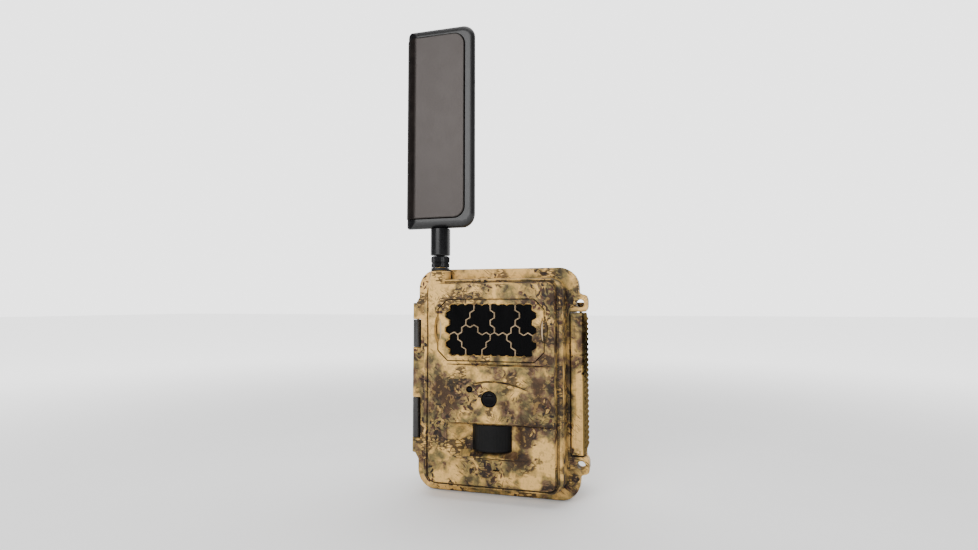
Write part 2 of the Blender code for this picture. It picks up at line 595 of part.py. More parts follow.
def rear_housing():
    housing = prism("rear_housing", flange(rear_left_edge(), 0.0, REAR_HALF_WIDTH),
                    (REAR_FRONT, REAR_FLANGE_BACK))
    w = REAR_HALF_WIDTH
    box = loft("rear_box", [
        (rounded((-w, w), (0, REAR_TOP), 9), REAR_FLANGE_BACK - 2),
        (rounded((-w, w), (0, REAR_TOP), 9), WALL_BACK - 2),
        (rounded((2 - w, w - 2), (2, REAR_TOP - 2), 7), WALL_BACK),
    ])
    rails = [tree_rail(x) for x in (-26, 26)]
    lugs = []
    for z in ((21.4, NOTCH_Z[0]), (NOTCH_Z[1], 118.8)):
        lugs.append(block("latch_lug", (w - 1, LATCH_X), (LATCH_Y - LATCH_BARREL, LATCH_Y + LATCH_BARREL), z))
        lugs.append(rod("lug_eye", (LATCH_X, LATCH_Y), LATCH_BARREL, z))
    room = prism("rear_room", rounded((-42.5, 42.5), (3.5, 133.5), 6), (-20, WALL_BACK - 2.5))
    groove = prism("gasket_groove", rounded((-45.2, 45.2), (0.8, 136.2), 8), (REAR_FRONT - 1, -13.1))
    cut(groove, prism("groove_core", rounded((-43.2, 43.2), (2.8, 134.2), 6.4), (-20, -10)))
    strap_way = block("strap_way", (-40, 40), (WALL_BACK, WALL_BACK + 6.2), (52, 84))
    insert_boss = rod("insert_boss", (0, 8), 8, (1, 11))
    insert_way = rod("insert_way", (0, 8), 4.8, (-1, 10))
    jack_way = rod("dc_way", (10, 20), 4.3, (-50, -40), "X")
    latch_way = rod("latch_way", (LATCH_X, LATCH_Y), PIN_HOLE, (22.4, 117.8), sides=12)
    join(housing, box, *rails, *lugs)
    cut(housing, room, groove, strap_way)
    join(housing, insert_boss)
    cut(housing, insert_way, jack_way, latch_way, *ear_holes((-16, -10)))
    finish(housing, "camo_plastic")
    ring = prism("door_gasket", rounded((-44.9, 44.9), (1.1, 135.9), 7.7), (-14.9, -13.4))
    core = prism("gasket_core", rounded((-43.5, 43.5), (2.5, 134.5), 6.6), (-16, -12))
    finish(cut(ring, core), "rubber")
    insert = rod("tripod_insert", (0, 8), 4.5, (0.3, 9.5), sides=20)
    finish(cut(insert, rod("insert_bore", (0, 8), 3.2, (-1, 8.5), sides=20)), "brass")


def hinge_parts():
    for name, span in zip(("hinge_bracket_lower", "hinge_bracket_upper"), BLACK_BARRELS):
        bracket = rod(name, (HINGE_X, HINGE_Y), BARREL_RADIUS, span, sides=20)
        arm = block("bracket_arm", (HINGE_X + 0.5, -46.3), (-14.5, -11.3), span)
        leaf = block("bracket_leaf", (-48.4, -46.3), (-12, 2), span)
        way = rod("bracket_way", (HINGE_X, HINGE_Y), PIN_HOLE, (span[0] - 1, span[1] + 1), sides=12)
        finish(cut(join(bracket, arm, leaf), way), "black_plastic")
    finish(rod("hinge_pin", (HINGE_X, HINGE_Y), PIN_RADIUS, (22.4, 118.3), sides=12), "steel")


def latch_parts():
    finish(rod("latch_pin", (LATCH_X, LATCH_Y), PIN_RADIUS, (22.8, 117.4), sides=12), "steel")
    pivot = joint_empty("latch_joint", LATCH_X, LATCH_Y, 70)
    section = [(46.6, -17.6), (46.6, -19.6), (47.2, -20.2), (53.4, -20.2), (54.4, -19.2), (54.4, 5.5),
               (52.8, 9.6), (50.2, 9.6), (50.2, 6.2), (51.9, 3.5), (51.9, -17.0), (47.2, -17.0)]
    lever = prism("latch_lever", section, LATCH_Z, "Z")
    barrel = rod("latch_barrel", (LATCH_X, LATCH_Y), LATCH_BARREL, LATCH_Z, sides=20)
    ribs = [(54.0, LATCH_Z[0]), (54.0, LATCH_Z[1])]
    count = int((LATCH_Z[1] - LATCH_Z[0]) / RIB_PITCH)
    start = (LATCH_Z[0] + LATCH_Z[1] - count * RIB_PITCH) / 2
    for i in reversed(range(count)):
        z = start + i * RIB_PITCH
        ribs += [(54.4, z + 2.6), (54.4 + RIB_HEIGHT, z + 2.1), (54.4 + RIB_HEIGHT, z + 1.1), (54.4, z + 0.6)]
    ribbed = prism("latch_ribs", ribs, (-17.8, 4.0))
    way = rod("lever_way", (LATCH_X, LATCH_Y), PIN_HOLE, (LATCH_Z[0] - 1, LATCH_Z[1] + 1), sides=12)
    finish(cut(join(lever, barrel, ribbed), way), "camo_plastic", pivot)


# ---- power ----

def battery_parts():
    tray = block("battery_tray", (-32.6, 32.6), (5.0, 22.2), (11.6, 129.2))
    rooms = [block("tray_bay", (-31, 31), (0, 20.6), bay) for bay in BAYS]
    notch = block("bridge_notch", (-3.4, 3.4), (4, 7.2), (BAYS[0][1] - 1, BAYS[1][0] + 1))
    finish(cut(tray, *rooms, notch), "black_plastic")
    cover = prism("battery_cover", rounded((-32.6, 32.6), (11.6, 129.2), 3), (2.8, 4.7))
    notch = block("finger_notch", (-8, 8), (0, 3.8), (119, 126))
    finish(cut(cover, notch), "black_plastic")
    for number in range(8):
        x = CELL_PITCH * (number % 4 - 1.5)
        low = BAYS[number // 4][0] + 0.3 + 0.5 + SPRING_HEIGHT + GAP
        high = low + CELL_LENGTH
        nub_up = number % 2 == 0
        body_span = (low, high - NUB_LENGTH) if nub_up else (low + NUB_LENGTH, high)
        nub_span = (high - NUB_LENGTH - 0.1, high) if nub_up else (low, low + NUB_LENGTH + 0.1)
        cell = rod(f"battery_cell_{number + 1}", (x, CELL_Y), CELL_RADIUS, body_span)
        finish(join(cell, rod("cell_nub", (x, CELL_Y), 2.7, nub_span, sides=10)), "battery_wrap")
    contact_strips()


def contact_strips():
    """Spring strips under each row of cells; the middle one also caps the lower row."""
    def springs(low):
        for column in range(4):
            x = CELL_PITCH * (column - 1.5)
            yield rod("cell_spring", (x, CELL_Y), 4.2, (low, low + SPRING_HEIGHT), sides=10, end_radius=2.6)

    lower, upper = BAYS
    plate = dict(x=(-29.5, 29.5), y=(6.4, 19.8))
    bottom = block("contact_strip_lower", **plate, z=(lower[0] + 0.3, lower[0] + 0.8))
    finish(join(bottom, *springs(lower[0] + 0.7)), "steel")
    middle = block("contact_strip_middle", **plate, z=(upper[0] + 0.3, upper[0] + 0.8))
    under = block("strip_under", plate["x"], plate["y"], (lower[1] - 0.6, lower[1] - 0.3))
    bridge = block("strip_bridge", (-3, 3), (5.3, 6.7), (lower[1] - 0.6, upper[0] + 0.8))
    finish(join(middle, under, bridge, *springs(upper[0] + 0.7)), "steel")
    finish(block("contact_strip_upper", **plate, z=(upper[1] - 0.6, upper[1] - 0.3)), "steel")


def power_jack():
    jack = block("dc_jack", (-42.2, -33.2), (4.5, 15.5), (14.5, 25.5))
    nose = rod("jack_nose", (10, 20), 3.95, (-45.6, -42), "X")
    bore = rod("jack_bore", (10, 20), 3.0, (-50, -37), "X")
    finish(cut(join(jack, nose), bore), "black_plastic")
    pivot = joint_empty("dc_plug_joint", -46.3, 10, 20)
    cap = rod("dc_plug_cap", (10, 20), 6.2, (-48.4, -46.3), "X", 20)
    stem = rod("plug_stem", (10, 20), 2.6, (-46.4, -39), "X")
    finish(join(cap, stem), "rubber", pivot)


def main():
    door = joint_empty("door_joint", HINGE_X, HINGE_Y, 70)
    front_cover(door)
    for build in (led_bezel, lamp_parts, camera_parts, pir_parts, boards, inner_panel, antenna_lead,
                  sma_jack):
        build(door)
    for build in (ir_cut_filter, keys_and_card, antenna, rear_housing, hinge_parts, latch_parts,
                  battery_parts, power_jack):
        build()


for leftover in list(bpy.data.objects):
    bpy.data.objects.remove(leftover, do_unlink=True)
PARTS = collection("trail_camera")
CUTTERS = collection("trail_camera_cutters")
main()
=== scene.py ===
"""The looks of a cellular trail camera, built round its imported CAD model. Lengths here are in millimetres."""
import json
import math

import bmesh
import bpy
from mathutils import Matrix, Vector

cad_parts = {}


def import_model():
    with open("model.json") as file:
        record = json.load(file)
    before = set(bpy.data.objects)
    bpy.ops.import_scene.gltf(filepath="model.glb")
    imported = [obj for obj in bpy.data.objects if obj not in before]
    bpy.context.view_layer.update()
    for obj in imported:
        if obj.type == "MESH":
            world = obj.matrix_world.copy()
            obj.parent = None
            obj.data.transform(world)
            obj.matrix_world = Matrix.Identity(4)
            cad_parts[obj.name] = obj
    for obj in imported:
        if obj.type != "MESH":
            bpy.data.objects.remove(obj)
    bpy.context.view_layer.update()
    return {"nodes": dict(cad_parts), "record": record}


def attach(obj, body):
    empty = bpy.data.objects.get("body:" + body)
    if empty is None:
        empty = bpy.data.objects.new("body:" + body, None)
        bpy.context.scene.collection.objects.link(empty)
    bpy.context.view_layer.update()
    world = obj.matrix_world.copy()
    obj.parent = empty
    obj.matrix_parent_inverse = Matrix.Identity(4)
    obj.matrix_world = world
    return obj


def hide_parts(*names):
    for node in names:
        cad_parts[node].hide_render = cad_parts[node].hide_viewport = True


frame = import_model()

MM = 0.001


# ---- sizes that repeat the CAD model's ----

HALF, TOP, BOTTOM = 51.7, 140.0, 0.4     # the case, without its ears and hinge
MIDDLE = 70.0
FLANGE_FRONT, FACE = -19.0, -34.0        # y of the parting flange and of the platform
HINGE = (-54.0, -15.0)
DOOR_BARRELS = ((22.2, 31.7), (57.5, 89.6), (107.9, 118.5))
NOTCH = (27.2, 113.0)                    # z of the gap in the door's edge that the latch fills
EAR_TIP = 57.0
EAR_HOLES = ((52.3, 22.0), (52.3, 118.0))
LATCH_PIN, LATCH_SIDE, LATCH_SPAN = (50.2, 8.0), 54.4, (28.0, 112.2)
ANTENNA = (-34.8, -25.0)
BLADE_X, BLADE_Z = (-58.7, -11.5), (165.8, 296.0)
LENS, EYE = (-0.4, 60.9), (-12.7, 66.4)  # the lens and the light sensor
CELL_FOOT, CELL_PITCH = 13.4, 58.4       # the lower battery cells' foot, and the upper cells' height above it


# ---- material graphs ----

class Graph:
    """Short names for the nodes of one material. Values may be numbers, tuples or sockets."""

    def __init__(self, name):
        self.material = bpy.data.materials.new(name)
        self.material.use_nodes = True
        self.tree = self.material.node_tree
        self.shader = self.tree.nodes["Principled BSDF"]
        where = self.node("ShaderNodeTexCoord")
        self.place = self.vector("SCALE", where.outputs["Object"], scale=1 / MM)
        self.normal = where.outputs["Normal"]

    def node(self, kind, **settings):
        made = self.tree.nodes.new(kind)
        for key, value in settings.items():
            setattr(made, key, value)
        return made

    def put(self, socket, value):
        if isinstance(value, bpy.types.NodeSocket):
            self.tree.links.new(value, socket)
        elif value is not None:
            socket.default_value = value

    def math(self, operation, a, b=None, c=None):
        made = self.node("ShaderNodeMath", operation=operation)
        for socket, value in zip(made.inputs, (a, b, c)):
            self.put(socket, value)
        return made.outputs[0]

    def vector(self, operation, a, b=None, scale=None):
        made = self.node("ShaderNodeVectorMath", operation=operation)
        self.put(made.inputs[0], a)
        self.put(made.inputs[1], b)
        self.put(made.inputs[3], scale)
        return made.outputs[1 if operation == "LENGTH" else 0]

    def split(self, a):
        made = self.node("ShaderNodeSeparateXYZ")
        self.put(made.inputs[0], a)
        return made.outputs

    def join(self, x, y, z):
        made = self.node("ShaderNodeCombineXYZ")
        for socket, value in zip(made.inputs, (x, y, z)):
            self.put(socket, value)
        return made.outputs[0]

    def shift(self, place, x, y, z):
        return self.vector("ADD", place, (x, y, z))

    def noise(self, place, size, detail=2.0, roughness=0.5, colour=False):
        """Noise with features about size across."""
        made = self.node("ShaderNodeTexNoise")
        for name, value in (("Vector", place), ("Scale", 1 / size), ("Detail", detail),
                            ("Roughness", roughness)):
            self.put(made.inputs[name], value)
        return made.outputs["Color" if colour else 0]

    def step(self, value, low, high, ends=(0.0, 1.0)):
        """A smooth step as value goes from low to high."""
        made = self.node("ShaderNodeMapRange", interpolation_type="SMOOTHSTEP")
        for name, given in (("Value", value), ("From Min", low), ("From Max", high),
                            ("To Min", ends[0]), ("To Max", ends[1])):
            self.put(made.inputs[name], given)
        return made.outputs[0]

    def mix(self, share, a, b, blend="MIX"):
        made = self.node("ShaderNodeMix", data_type="RGBA", blend_type=blend)
        self.put(made.inputs[0], share)
        self.put(made.inputs[6], a)
        self.put(made.inputs[7], b)
        return made.outputs[2]

    def ramp(self, share, *stops, hard=False):
        """Colours along a ramp, each stop as (place, colour)."""
        made = self.node("ShaderNodeValToRGB")
        made.color_ramp.interpolation = "CONSTANT" if hard else "LINEAR"
        elements = made.color_ramp.elements
        while len(elements) < len(stops):
            elements.new(0.5)
        for element, (place, colour) in zip(elements, stops):
            element.position, element.color = place, (*colour[:3], 1)
        self.put(made.inputs[0], share)
        return made.outputs["Color"]

    def bump(self, height, depth, strength):
        made = self.node("ShaderNodeBump")
        self.put(made.inputs["Height"], height)
        made.inputs["Distance"].default_value = depth * MM
        made.inputs["Strength"].default_value = strength
        self.put(self.shader.inputs["Normal"], made.outputs[0])

    def surface(self, colour, roughness, metallic=0.0, **more):
        if isinstance(colour, tuple):
            colour = (*colour[:3], 1)
        self.put(self.shader.inputs["Base Color"], colour)
        self.put(self.shader.inputs["Roughness"], roughness)
        self.put(self.shader.inputs["Metallic"], metallic)
        for name, value in more.items():
            self.put(self.shader.inputs[name.replace("_", " ")], value)
        return self.material


# ---- the printed camouflage ----

CREAM = (0.70, 0.425, 0.130)
TAN = (0.46, 0.277, 0.079)
KHAKI = (0.250, 0.170, 0.053)
OLIVE = (0.160, 0.122, 0.043)
MOSS = (0.075, 0.058, 0.025)
MAUVE = (0.148, 0.087, 0.047)
BROWN = (0.076, 0.039, 0.018)
RUST = (0.085, 0.034, 0.021)
UMBER = (0.038, 0.021, 0.010)
INK = (0.014, 0.009, 0.007)
RIB_SIDE_SHADE = (0.24, 0.26, 0.29)  # painted shade: what the latch's right-facing ribbed side keeps of its colour

# Shade laid on the front: x, z, half width, half height and weight. Positive is darker.
SHADES = (
    (30, 65, 7, 10, 0.30), (16, 51, 6, 6, 0.18), (14, 77, 8, 3.5, 0.12), (30, 84, 11, 4.5, 0.28),
    (-25, 57, 12, 11, 0.19), (-33, 66, 7, 6, 0.10), (31, 46, 12, 4, 0.24), (20, 36, 7, 7, 0.27),
    (-12, 16, 6, 6, 0.14), (-8, 29, 7, 5, 0.16), (17, 26, 8, 4, 0.26), (38, 12, 8, 4, 0.20),
    (37, 119, 6, 8, 0.20), (45, 120, 5, 8, 0.12), (15, 125, 8, 5, 0.10), (-32, 113, 5, 6, 0.17),
    (-46, 66, 4, 12, 0.20), (-43, 22, 5, 7, 0.20), (53, 92, 6, 18, 0.10), (49, 25, 5, 9, 0.16),
    (33, 95, 9, 8, 0.16), (0, 11, 9, 3, 0.10), (-39, 50, 5, 7, 0.09), (42, 102, 4, 8, 0.06),
    (-12, 137, 12, 4, -0.20), (14, 138, 12, 4, -0.20), (48, 132, 6, 6, -0.10), (-18, 126, 8, 5, -0.08),
    (4, 131, 12, 4, -0.10), (-38, 127, 12, 14, -0.26), (57, 119, 3, 6, -0.3), (-37, 100, 8, 12, -0.08),
    (-10, 102, 26, 18, -0.10), (48, 82, 4, 14, -0.08), (22, 62, 3, 5, -0.10), (3, 51, 10, 6, -0.11),
    (53, 46, 5, 22, -0.36), (-15, 35, 4, 5, -0.10), (34, 26, 8, 7, -0.32), (23, 16, 9, 5, -0.34),
    (-24, 15, 9, 7, -0.18), (-22, 5, 26, 3, -0.09),
)
# Sprays of dark needles: x, z, reach, how many strokes and their wobble.
SPRAYS = (
    (4, 46, 9, 23, 2.0), (39, 50, 12, 21, 1.2), (33, 104, 9, 19, 1.6), (-7, 126, 7, 13, 2.0),
    (-34, 119, 6, 11, 1.5), (9, 15, 6, 11, 2.5), (-21, 55, 9, 17, 2.5), (-38, 63, 8, 15, 2.0),
    (16, 67, 7, 13, 2.0), (41, 123, 7, 15, 2.0),
)
# Three layers of leaves: a cell's size, its leaf's half width as a share of that, and the pattern's shift.
LEAVES = ((6.0, 0.22, 11.0), (4.4, 0.20, 37.0), (3.2, 0.20, 59.0))
# Where bark is likeliest: x, z, half width and half height.
BARK = (-34, 33, 14, 7)


def blot(g, x, z, cx, cz, rx, rz):
    """How far a point is from a blot's centre, squared, with its rim at one."""
    across = g.math("MULTIPLY_ADD", x, 1 / rx, -cx / rx)
    up = g.math("MULTIPLY_ADD", z, 1 / rz, -cz / rz)
    return g.math("MULTIPLY_ADD", across, across, g.math("MULTIPLY", up, up))


def shade_tone(g, x, z):
    """The sum of the listed shades."""
    total = 0.0
    for cx, cz, rx, rz, weight in SHADES:
        far = blot(g, x, z, cx, cz, rx, rz)
        total = g.math("MULTIPLY_ADD", g.math("EXPONENT", g.math("MULTIPLY", far, -1.0)), weight, total)
    return total


def sprays(g, x, z, wander):
    """Strokes that fan out from a few points."""
    total = 0.0
    for cx, cz, reach, strokes, wobble in SPRAYS:
        dx, dz = g.math("SUBTRACT", x, cx), g.math("SUBTRACT", z, cz)
        angle = g.math("ARCTAN2", dz, dx)
        wave = g.math("MULTIPLY_ADD", angle, strokes, g.math("MULTIPLY", wander, 9 * wobble))
        far = blot(g, x, z, cx, cz, reach, reach)
        far = g.math("MULTIPLY_ADD", g.math("SINE", g.math("MULTIPLY_ADD", angle, 3.0, cx)), 0.4, far)
        stroke = g.math("MULTIPLY", g.step(g.math("SINE", wave), 0.35, 0.8), g.step(far, 0.9, 0.45))
        total = g.math("MAXIMUM", total, g.math("MULTIPLY", stroke, g.step(far, 0.02, 0.08)))
    return total


def leaf_cells(g, place, size, width):
    """Leaves at random angles, one to a cell: how far inside, how far from the midrib, and two chances."""
    cells = g.node("ShaderNodeTexVoronoi", feature="F1", voronoi_dimensions="3D")
    g.put(cells.inputs["Vector"], place)
    g.put(cells.inputs["Scale"], 1 / size)
    offset = g.vector("SUBTRACT", place, cells.outputs["Position"])
    chance = g.node("ShaderNodeSeparateColor")
    g.put(chance.inputs[0], cells.outputs["Color"])
    turn = g.node("ShaderNodeVectorRotate", rotation_type="AXIS_ANGLE")
    g.put(turn.inputs["Vector"], offset)
    turn.inputs["Axis"].default_value = (0, 1, 0)
    g.put(turn.inputs["Angle"], g.math("MULTIPLY", chance.outputs[0], 2 * math.pi))
    along, _, across = g.split(turn.outputs[0])
    along = g.math("DIVIDE", along, size * 0.55)
    across = g.math("DIVIDE", g.math("ABSOLUTE", across), size * width)
    inside = g.math("SUBTRACT", g.math("SUBTRACT", 1.0, g.math("MULTIPLY", along, along)), across)
    return inside, across, chance.outputs[1], chance.outputs[2]


def facing(g, normal, where, centre):
    """Which way a face looks along one axis, -1 or 1, or zero where it doesn't look that way."""
    side = g.math("SIGN", g.math("SUBTRACT", where, centre))
    return g.math("MULTIPLY", g.step(g.math("ABSOLUTE", normal), 0.69, 0.715), side)


def unfolded(g):
    """The print's own plane: the front, with the sides and ends folded out and the back set far away."""
    x, y, z = g.split(g.place)
    nx, ny, nz = g.split(g.normal)
    behind = g.math("SUBTRACT", y, FLANGE_FRONT)
    side, end = facing(g, nx, x, 0.0), facing(g, nz, z, MIDDLE)
    return g.join(g.math("MULTIPLY_ADD", side, behind, x), g.step(ny, 0.3, 0.6, (0.0, 60.0)),
                  g.math("MULTIPLY_ADD", end, behind, z))


def ground(g, bent, loose, tone):
    """Blurred cream, tan and khaki under brown and olive shade, with finer dirt."""
    depth = g.math("SUBTRACT", g.noise(bent, 12.5, 4, 0.56), g.math("MULTIPLY_ADD", tone, 0.76, -0.002))
    warm = g.ramp(depth, (0.325, UMBER), (0.39, BROWN), (0.435, MAUVE), (0.47, KHAKI), (0.515, TAN),
                  (0.585, CREAM))
    green = g.ramp(depth, (0.335, UMBER), (0.40, MOSS), (0.45, OLIVE), (0.49, KHAKI), (0.54, TAN),
                   (0.61, CREAM))
    hue = g.step(g.noise(g.shift(bent, 71, 3, 22), 13, 3, 0.6), 0.44, 0.54)
    colour = g.mix(hue, warm, green)
    small = g.noise(g.shift(loose, 0, 9, 70), 3.2, 3, 0.65)
    colour = g.mix(g.step(small, 0.55, 0.63, (0.0, 0.36)), colour, BROWN + (1,))
    colour = g.mix(g.step(small, 0.46, 0.38, (0.0, 0.35)), colour, TAN + (1,))
    fleck = g.noise(g.shift(loose, 8, 8, 8), 1.3, 3, 0.7)
    return g.mix(g.step(fleck, 0.57, 0.68, (0.0, 0.26)), colour, UMBER + (1,))


def leaves(g, colour, flat, loose, tone):
    """Clusters of outlined leaves, thicker in the shade."""
    cluster = g.math("MULTIPLY_ADD", tone, 0.5, g.noise(g.shift(flat, 90, 5, 31), 14, 1.5))
    cluster = g.step(cluster, 0.55, 0.61)
    for size, width, shift in LEAVES:
        place = g.shift(loose, shift, shift / 3, -shift)
        inside, across, pick, chance = leaf_cells(g, place, size, width)
        body = g.ramp(pick, (0.0, INK), (0.20, RUST), (0.42, TAN), (0.56, UMBER), (0.72, KHAKI),
                      (0.86, MAUVE), hard=True)
        body = g.mix(g.step(across, 0.08, 0.2, (0.5, 0.0)), body, INK + (1,))
        share = g.math("MULTIPLY", cluster, g.step(chance, 0.34, 0.38))
        colour = g.mix(g.math("MULTIPLY", share, g.step(inside, 0.0, 0.10, (0.0, 0.9))), colour, INK + (1,))
        colour = g.mix(g.math("MULTIPLY", share, g.step(inside, 0.22, 0.34, (0.0, 0.95))), colour, body)
    return colour


def bark_cracks(g, x, z, flat, loose):
    """Cracks between plates of bark, mostly low on the left."""
    cells = g.node("ShaderNodeTexVoronoi", feature="DISTANCE_TO_EDGE")
    g.put(cells.inputs["Vector"], g.vector("MULTIPLY", g.shift(loose, 5, 0, 0), (0.6, 1, 1.5)))
    g.put(cells.inputs["Scale"], 1 / 2.4)
    near = g.math("EXPONENT", g.math("MULTIPLY", blot(g, x, z, *BARK), -1.0))
    plates = g.math("ADD", g.math("MULTIPLY", near, 0.3), g.noise(g.shift(flat, 3, 50, 3), 15, 1))
    width = g.step(g.noise(g.place, 4, 1), 0.4, 0.62, (0.06, 0.24))
    crack = g.math("LESS_THAN", cells.outputs["Distance"], width)
    return g.math("MULTIPLY", g.step(plates, 0.58, 0.64), crack)


def grass(g, flat, loose):
    """Patches of long slanted blades."""
    slant = g.node("ShaderNodeVectorRotate", rotation_type="AXIS_ANGLE")
    g.put(slant.inputs["Vector"], loose)
    slant.inputs["Axis"].default_value = (0, 1, 0)
    slant.inputs["Angle"].default_value = math.radians(-38)
    blade = g.noise(g.vector("MULTIPLY", slant.outputs[0], (0.12, 0.3, 1.0)), 0.8, 1)
    where = g.step(g.noise(g.shift(flat, 33, 21, 60), 12, 1), 0.55, 0.62)
    return g.math("MULTIPLY", where, g.step(blade, 0.58, 0.66, (0.0, 0.85)))


def latch_side_shade(g, x, z):
    """Painted shade on the latch's ribbed right side, which faces away from the light."""
    nx = g.split(g.normal)[0]
    low, high = LATCH_SPAN
    far = g.math("ABSOLUTE", g.math("SUBTRACT", z, (low + high) / 2))
    reach = (high - low) / 2
    side = g.math("MULTIPLY", g.step(nx, 0.1, 0.5), g.step(x, LATCH_SIDE - 1.5, LATCH_SIDE - 0.8))
    return g.math("MULTIPLY", g.step(far, reach + 0.5, reach + 0.2),
                  g.math("MAXIMUM", side, g.step(x, LATCH_SIDE - 0.15, LATCH_SIDE + 0.1)))


def camo():
    """The printed case: ground, leaves, needle sprays, cracked bark and grass, with painted shade in its
    corners and on the latch's ribbed right side.
    """
    g = Graph("camo_plastic")
    x, _, z = g.split(g.place)
    flat = unfolded(g)
    stir = g.vector("SUBTRACT", g.noise(flat, 7, 3, colour=True), (0.5, 0.5, 0.5))
    bent = g.vector("ADD", flat, g.vector("SCALE", stir, scale=8.0))
    loose = g.vector("ADD", flat, g.vector("SCALE", stir, scale=2.0))
    tone = shade_tone(g, x, z)
    colour = leaves(g, ground(g, bent, loose, tone), flat, loose, tone)

    ragged = g.step(g.noise(g.shift(flat, 17, 40, 2), 2.2, 2), 0.40, 0.54, (0.1, 0.8))
    strokes = g.math("MULTIPLY", sprays(g, x, z, g.split(stir)[0]), ragged)
    cracks = g.math("MULTIPLY", bark_cracks(g, x, z, flat, loose), 0.85)
    # Painted shade: ambient occlusion darkens creases and corners toward ink.
    corner = g.node("ShaderNodeAmbientOcclusion", samples=6)
    g.put(corner.inputs["Distance"], 2.6 * MM)
    painted_crease_shade = g.step(corner.outputs["AO"], 0.85, 0.42, (0.0, 0.9))
    for share in (strokes, cracks, grass(g, flat, loose), painted_crease_shade):
        colour = g.mix(share, colour, INK + (1,))

    # Painted shade: the latch's right-facing ribbed side is darkened and loses most of its gloss.
    shaded_side = latch_side_shade(g, x, z)
    colour = g.mix(shaded_side, colour, RIB_SIDE_SHADE + (1,), "MULTIPLY")
    g.bump(g.noise(g.place, 0.45, 2), 0.025, 0.35)
    return g.surface(colour, g.step(g.noise(g.place, 6, 2), 0.3, 0.7, (0.50, 0.64)),
                     Specular_IOR_Level=g.step(shaded_side, 0.0, 0.6, (0.18, 0.0)))


# ---- the other materials ----

def scaled(colour, factor):
    return tuple(min(1.0, c * factor) for c in colour)


def plastic(name, colour, roughness, grain=0.4, depth=0.02, cloud=0.15, swing=0.05, flank=None, **more):
    """Moulded plastic, finely grained and slightly cloudy. Flank is the gloss of sides that face left."""
    g = Graph(name)
    if flank is not None:
        ends = (flank, more["Specular_IOR_Level"])
        more["Specular_IOR_Level"] = g.step(g.split(g.normal)[0], -0.42, -0.22, ends)
    mist = g.noise(g.place, 9, 3)
    shown = g.ramp(mist, (0.35, scaled(colour, 1 - cloud)), (0.65, scaled(colour, 1 + cloud)))
    g.bump(g.noise(g.place, grain, 2), depth, 0.5)
    return g.surface(shown, g.step(mist, 0.3, 0.7, (roughness - swing, roughness + swing)), **more)


def glossy(name, colour, roughness, **more):
    """Smooth dark plastic or glass with faint smears."""
    g = Graph(name)
    smear = g.noise(g.vector("MULTIPLY", g.place, (1, 1, 0.25)), 5, 3)
    shown = g.ramp(smear, (0.3, colour), (0.75, scaled(colour, 1.5)))
    return g.surface(shown, g.step(smear, 0.35, 0.7, (roughness, roughness + 0.08)), **more)


def metal(name, colour, roughness):
    """Turned or rolled metal with fine drawn lines."""
    g = Graph(name)
    lines = g.noise(g.vector("MULTIPLY", g.place, (1, 1, 0.06)), 0.35, 2)
    worn = g.noise(g.place, 3, 3)
    g.bump(lines, 0.01, 0.4)
    shown = g.ramp(worn, (0.3, scaled(colour, 0.8)), (0.7, colour))
    return g.surface(shown, g.step(lines, 0.3, 0.7, (roughness - 0.06, roughness + 0.08)), 1.0)


def board(name):
    """Green solder mask with paler tracks and tinned pads."""
    g = Graph(name)
    tracks = g.node("ShaderNodeTexBrick")
    g.put(tracks.inputs["Vector"], g.vector("SCALE", g.place, scale=0.35))
    tracks.inputs["Color1"].default_value = (0.008, 0.076, 0.025, 1)
    tracks.inputs["Color2"].default_value = (0.010, 0.098, 0.032, 1)
    tracks.inputs["Mortar"].default_value = (0.027, 0.19, 0.055, 1)
    tracks.inputs["Mortar Size"].default_value = 0.06
    pads = g.step(g.noise(g.place, 1.4, 1), 0.66, 0.7)
    shown = g.mix(pads, tracks.outputs["Color"], (0.55, 0.51, 0.4, 1))
    return g.surface(shown, 0.35, g.math("MULTIPLY", pads, 0.8))


def battery_wrap(name):
    """Plain shrink wrap in two tones, split partway up each cell."""
    g = Graph(name)
    _, _, z = g.split(g.place)
    up = g.math("MODULO", g.math("SUBTRACT", z, CELL_FOOT), CELL_PITCH)
    shown = g.mix(g.step(up, 36.0, 36.6), (0.018, 0.018, 0.02, 1), (0.42, 0.20, 0.045, 1))
    mist = g.noise(g.place, 4, 2)
    shown = g.mix(g.step(mist, 0.3, 0.7, (0.0, 0.12)), shown, (0.5, 0.5, 0.5, 1))
    return g.surface(shown, g.step(mist, 0.3, 0.7, (0.22, 0.34)), 0.3)


MATERIALS = {
    "camo_plastic": camo(),
    "black_plastic": plastic("black_plastic", (0.0045, 0.0045, 0.0052), 0.27, swing=0.02,
                             Specular_IOR_Level=0.24),
    "rib_plastic": plastic("rib_plastic", (0.36, 0.255, 0.145), 0.55, cloud=0.25),
    "antenna_plastic": plastic("antenna_plastic", (0.0075, 0.0058, 0.0052), 0.43, grain=0.5, cloud=0.3,
                               swing=0.02, flank=0.05, Specular_IOR_Level=0.46,
                               Specular_Tint=(1.0, 0.90, 0.86, 1)),
    "antenna_frame": plastic("antenna_frame", (0.0055, 0.0055, 0.006), 0.38, grain=0.5, cloud=0.08,
                             swing=0.012, flank=0.05, Specular_IOR_Level=0.42),
    "hinge_plastic": plastic("hinge_plastic", (0.010, 0.009, 0.008), 0.24, depth=0.008),
    "lamp_filter": glossy("lamp_filter", (0.0006, 0.0006, 0.0008), 0.2, Specular_IOR_Level=0.03),
    "lens_glass": glossy("lens_glass", (0.0010, 0.0010, 0.0016), 0.08, Specular_IOR_Level=0.08),
    "pir_window": plastic("pir_window", (0.0040, 0.0040, 0.0042), 0.42, grain=0.6, depth=0.01,
                          Specular_IOR_Level=0.12),
    "circuit_board": board("circuit_board"),
    "rubber": plastic("rubber", (0.0055, 0.0055, 0.006), 0.55, grain=0.3, Specular_IOR_Level=0.3),
    "steel": metal("steel", (0.44, 0.44, 0.45), 0.32),
    "brass": metal("brass", (0.68, 0.45, 0.16), 0.3),
    "battery_wrap": battery_wrap("battery_wrap"),
    "key_plastic": plastic("key_plastic", (0.19, 0.19, 0.2), 0.5),
}


# ---- mesh helpers ----

